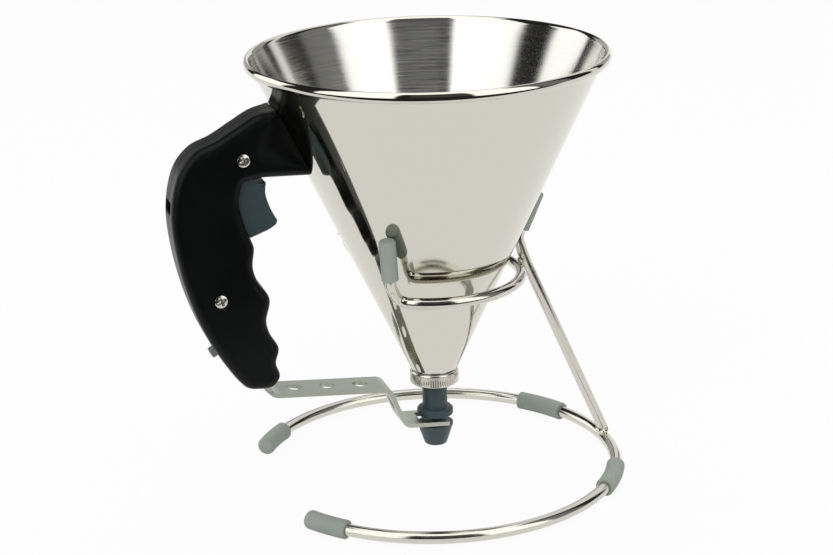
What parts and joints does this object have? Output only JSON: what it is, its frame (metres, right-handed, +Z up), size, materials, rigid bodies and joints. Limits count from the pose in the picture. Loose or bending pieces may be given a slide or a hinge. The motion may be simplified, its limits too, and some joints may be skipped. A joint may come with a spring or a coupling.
{
  "type": "batter dispenser",
  "caption": "Hand-held conical batter dispenser with a trigger handle that lifts a valve in its nozzle, resting in a wire stand with soft caps.",
  "frame": {"origin": "on the table under the middle of the whole object's box", "axes": "+X from the handle towards the stand's strut, +Z up out of the funnel, +Y to the far side of the handle"},
  "size_m": [0.2411, 0.2032, 0.234],
  "materials": {
    "hopper_steel": "mirror-polished outside, brushed round the axis inside",
    "wire_steel": "polished wire",
    "turned_steel": "turned, bright",
    "strip_steel": "satin, rolled lengthways",
    "black_plastic": "satin, fine grain",
    "slate_plastic": "satin",
    "nylon": "satin",
    "seal_rubber": "smooth",
    "grey_rubber": "soft, matte"
  },
  "bodies": {
    "stand": {"base_ring": "wire_steel", "strut": "wire_steel", "support_ring": "wire_steel", "sleeve_front": "grey_rubber", "sleeve_back": "grey_rubber", "end_cap_front": "grey_rubber", "end_cap_back": "grey_rubber", "prong_cap_front": "grey_rubber", "prong_cap_back": "grey_rubber", "prong_cap_strut": "grey_rubber"},
    "funnel": {"hopper": "hopper_steel", "rim_wire": "wire_steel", "outlet_neck": "hopper_steel", "guide_bush": "nylon", "handle_bracket": "hopper_steel", "handle_shell_left": "black_plastic", "handle_shell_right": "black_plastic", "shell_screws": "turned_steel", "shell_nuts": "turned_steel", "trigger_pin": "turned_steel", "lever_pin": "turned_steel", "return_spring": "wire_steel"},
    "trigger": {"trigger": "slate_plastic"},
    "lever": {"lever": "strip_steel"},
    "valve": {"nozzle": "slate_plastic", "valve_head": "turned_steel", "valve_seal": "seal_rubber"},
    "collar": {"collar": "turned_steel"},
    "lock": {"lock_button": "slate_plastic"}
  },
  "joints": [
    {"name": "funnel_lift", "type": "slide", "parent": "stand", "child": "funnel", "axis": [0, 0, 1], "range_m": [0, 0.15]},
    {"name": "trigger_pull", "type": "hinge", "parent": "funnel", "child": "trigger", "pos_m": [-0.0791, 0, 0.18], "axis": [0, 1, 0], "range_deg": [0, 12], "stiffness_Nm_per_rad": 1.36, "springref_deg": -5.73, "deforming": ["return_spring"]},
    {"name": "lever_turn", "type": "hinge", "parent": "funnel", "child": "lever", "pos_m": [-0.0796, 0, 0.072], "axis": [0, 1, 0], "range_deg": [-4.2, 0]},
    {"name": "valve_lift", "type": "slide", "parent": "funnel", "child": "valve", "axis": [0, 0, 1], "range_m": [0, 0.0072]},
    {"name": "collar_turn", "type": "hinge", "parent": "funnel", "child": "collar", "pos_m": [0.0189, 0, 0.055], "axis": [0, 0, 1], "continuous": true},
    {"name": "lock_slide", "type": "slide", "parent": "funnel", "child": "lock", "axis": [0.8721, 0, 0.4894], "range_m": [0, 0.0025]}
  ],
  "couplings": [
    {"joint": "lever_turn", "follows": "trigger_pull", "ratio": -0.34},
    {"joint": "valve_lift", "follows": "trigger_pull", "m_per_rad": 0.0335}
  ]
}
